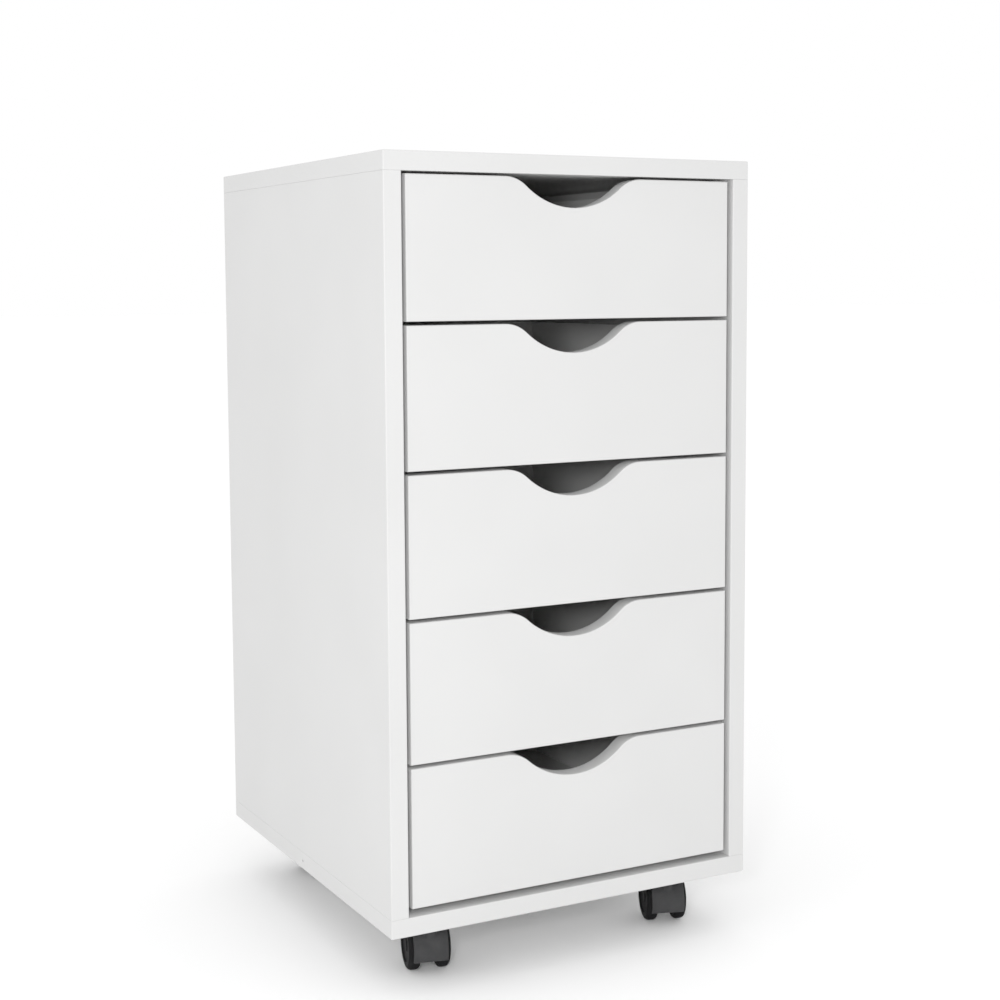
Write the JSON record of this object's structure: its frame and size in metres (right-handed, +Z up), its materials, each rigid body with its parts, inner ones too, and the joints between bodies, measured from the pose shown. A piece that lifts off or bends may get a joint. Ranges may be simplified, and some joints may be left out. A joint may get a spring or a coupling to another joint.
{
  "type": "rolling pedestal cabinet",
  "caption": "Narrow white drawer pedestal on swivelling twin-wheel casters, with equal fronts that have an arched finger cut-out.",
  "frame": {"origin": "on the floor, under the middle of the cabinet", "axes": "+Z up, drawer fronts face -Y, +X to the right of a person who faces the drawers"},
  "size_m": [0.33, 0.36, 0.653],
  "materials": {
    "white_board": "white melamine-faced particleboard, satin",
    "drawer_box_board": "white foil-wrapped board, satin",
    "white_hardboard": "white lacquered thin hardboard",
    "white_coated_steel": "white powder coating",
    "white_nylon": "matt",
    "zinc_steel": "bright zinc plating",
    "beech_wood": "bare beech, fluted dowel",
    "black_hood_plastic": "semi-gloss moulded",
    "black_wheel_plastic": "semi-gloss hard nylon"
  },
  "bodies": {
    "carcass": {"top_panel": "white_board", "bottom_panel": "white_board", "left_side_panel": "white_board", "right_side_panel": "white_board", "back_panel": "white_hardboard", "cam_locks": "zinc_steel", "cam_bolts": "zinc_steel", "carcass_dowels": "beech_wood", "left_cabinet_rails": "white_coated_steel", "right_cabinet_rails": "white_coated_steel", "cabinet_rail_rollers": "white_nylon", "cabinet_rail_screws": "zinc_steel", "caster_sockets": "black_hood_plastic", "caster_stems": "zinc_steel"},
    "drawer_1": {"drawer_1_front": "white_board", "drawer_1_left_side": "drawer_box_board", "drawer_1_right_side": "drawer_box_board", "drawer_1_back": "drawer_box_board", "drawer_1_bottom": "white_hardboard", "drawer_1_rails_and_rollers": "white_coated_steel"},
    "drawer_2": {"drawer_2_front": "white_board", "drawer_2_left_side": "drawer_box_board", "drawer_2_right_side": "drawer_box_board", "drawer_2_back": "drawer_box_board", "drawer_2_bottom": "white_hardboard", "drawer_2_rails_and_rollers": "white_coated_steel"},
    "drawer_3": {"drawer_3_front": "white_board", "drawer_3_left_side": "drawer_box_board", "drawer_3_right_side": "drawer_box_board", "drawer_3_back": "drawer_box_board", "drawer_3_bottom": "white_hardboard", "drawer_3_rails_and_rollers": "white_coated_steel"},
    "drawer_4": {"drawer_4_front": "white_board", "drawer_4_left_side": "drawer_box_board", "drawer_4_right_side": "drawer_box_board", "drawer_4_back": "drawer_box_board", "drawer_4_bottom": "white_hardboard", "drawer_4_rails_and_rollers": "white_coated_steel"},
    "drawer_5": {"drawer_5_front": "white_board", "drawer_5_left_side": "drawer_box_board", "drawer_5_right_side": "drawer_box_board", "drawer_5_back": "drawer_box_board", "drawer_5_bottom": "white_hardboard", "drawer_5_rails_and_rollers": "white_coated_steel"},
    "caster_front_left_swivel": {"caster_front_left_hood": "black_hood_plastic", "caster_front_left_axle": "zinc_steel"},
    "caster_front_left_left_wheel": {"caster_front_left_left_wheel": "black_wheel_plastic"},
    "caster_front_left_right_wheel": {"caster_front_left_right_wheel": "black_wheel_plastic"},
    "caster_rear_left_swivel": {"caster_rear_left_hood": "black_hood_plastic", "caster_rear_left_axle": "zinc_steel"},
    "caster_rear_left_left_wheel": {"caster_rear_left_left_wheel": "black_wheel_plastic"},
    "caster_rear_left_right_wheel": {"caster_rear_left_right_wheel": "black_wheel_plastic"},
    "caster_front_right_swivel": {"caster_front_right_hood": "black_hood_plastic", "caster_front_right_axle": "zinc_steel"},
    "caster_front_right_left_wheel": {"caster_front_right_left_wheel": "black_wheel_plastic"},
    "caster_front_right_right_wheel": {"caster_front_right_right_wheel": "black_wheel_plastic"},
    "caster_rear_right_swivel": {"caster_rear_right_hood": "black_hood_plastic", "caster_rear_right_axle": "zinc_steel"},
    "caster_rear_right_left_wheel": {"caster_rear_right_left_wheel": "black_wheel_plastic"},
    "caster_rear_right_right_wheel": {"caster_rear_right_right_wheel": "black_wheel_plastic"}
  },
  "joints": [
    {"name": "drawer_1_slide", "type": "slide", "parent": "carcass", "child": "drawer_1", "axis": [0, -1, 0], "range_m": [0, 0.225]},
    {"name": "drawer_2_slide", "type": "slide", "parent": "carcass", "child": "drawer_2", "axis": [0, -1, 0], "range_m": [0, 0.225]},
    {"name": "drawer_3_slide", "type": "slide", "parent": "carcass", "child": "drawer_3", "axis": [0, -1, 0], "range_m": [0, 0.225]},
    {"name": "drawer_4_slide", "type": "slide", "parent": "carcass", "child": "drawer_4", "axis": [0, -1, 0], "range_m": [0, 0.225]},
    {"name": "drawer_5_slide", "type": "slide", "parent": "carcass", "child": "drawer_5", "axis": [0, -1, 0], "range_m": [0, 0.225]},
    {"name": "caster_front_left_swivel_turn", "type": "hinge", "parent": "carcass", "child": "caster_front_left_swivel", "pos_m": [-0.1135, -0.139, 0.041], "axis": [0, 0, 1], "continuous": true},
    {"name": "caster_front_left_left_wheel_roll", "type": "hinge", "parent": "caster_front_left_swivel", "child": "caster_front_left_left_wheel", "pos_m": [-0.11006, -0.12409, 0.02], "axis": [0.9744, -0.225, 0], "continuous": true},
    {"name": "caster_front_left_right_wheel_roll", "type": "hinge", "parent": "caster_front_left_swivel", "child": "caster_front_left_right_wheel", "pos_m": [-0.11006, -0.12409, 0.02], "axis": [0.9744, -0.225, 0], "continuous": true},
    {"name": "caster_rear_left_swivel_turn", "type": "hinge", "parent": "carcass", "child": "caster_rear_left_swivel", "pos_m": [-0.1135, 0.139, 0.041], "axis": [0, 0, 1], "continuous": true},
    {"name": "caster_rear_left_left_wheel_roll", "type": "hinge", "parent": "caster_rear_left_swivel", "child": "caster_rear_left_left_wheel", "pos_m": [-0.09826, 0.14033, 0.02], "axis": [0.0872, -0.9962, 0], "continuous": true},
    {"name": "caster_rear_left_right_wheel_roll", "type": "hinge", "parent": "caster_rear_left_swivel", "child": "caster_rear_left_right_wheel", "pos_m": [-0.09826, 0.14033, 0.02], "axis": [0.0872, -0.9962, 0], "continuous": true},
    {"name": "caster_front_right_swivel_turn", "type": "hinge", "parent": "carcass", "child": "caster_front_right_swivel", "pos_m": [0.1135, -0.139, 0.041], "axis": [0, 0, 1], "continuous": true},
    {"name": "caster_front_right_left_wheel_roll", "type": "hinge", "parent": "caster_front_right_swivel", "child": "caster_front_right_left_wheel", "pos_m": [0.11848, -0.12453, 0.02], "axis": [0.9455, -0.3256, 0], "continuous": true},
    {"name": "caster_front_right_right_wheel_roll", "type": "hinge", "parent": "caster_front_right_swivel", "child": "caster_front_right_right_wheel", "pos_m": [0.11848, -0.12453, 0.02], "axis": [0.9455, -0.3256, 0], "continuous": true},
    {"name": "caster_rear_right_swivel_turn", "type": "hinge", "parent": "carcass", "child": "caster_rear_right_swivel", "pos_m": [0.1135, 0.139, 0.041], "axis": [0, 0, 1], "continuous": true},
    {"name": "caster_rear_right_left_wheel_roll", "type": "hinge", "parent": "caster_rear_right_swivel", "child": "caster_rear_right_left_wheel", "pos_m": [0.10472, 0.15153, 0.02], "axis": [0.8192, 0.5736, 0], "continuous": true},
    {"name": "caster_rear_right_right_wheel_roll", "type": "hinge", "parent": "caster_rear_right_swivel", "child": "caster_rear_right_right_wheel", "pos_m": [0.10472, 0.15153, 0.02], "axis": [0.8192, 0.5736, 0], "continuous": true}
  ]
}
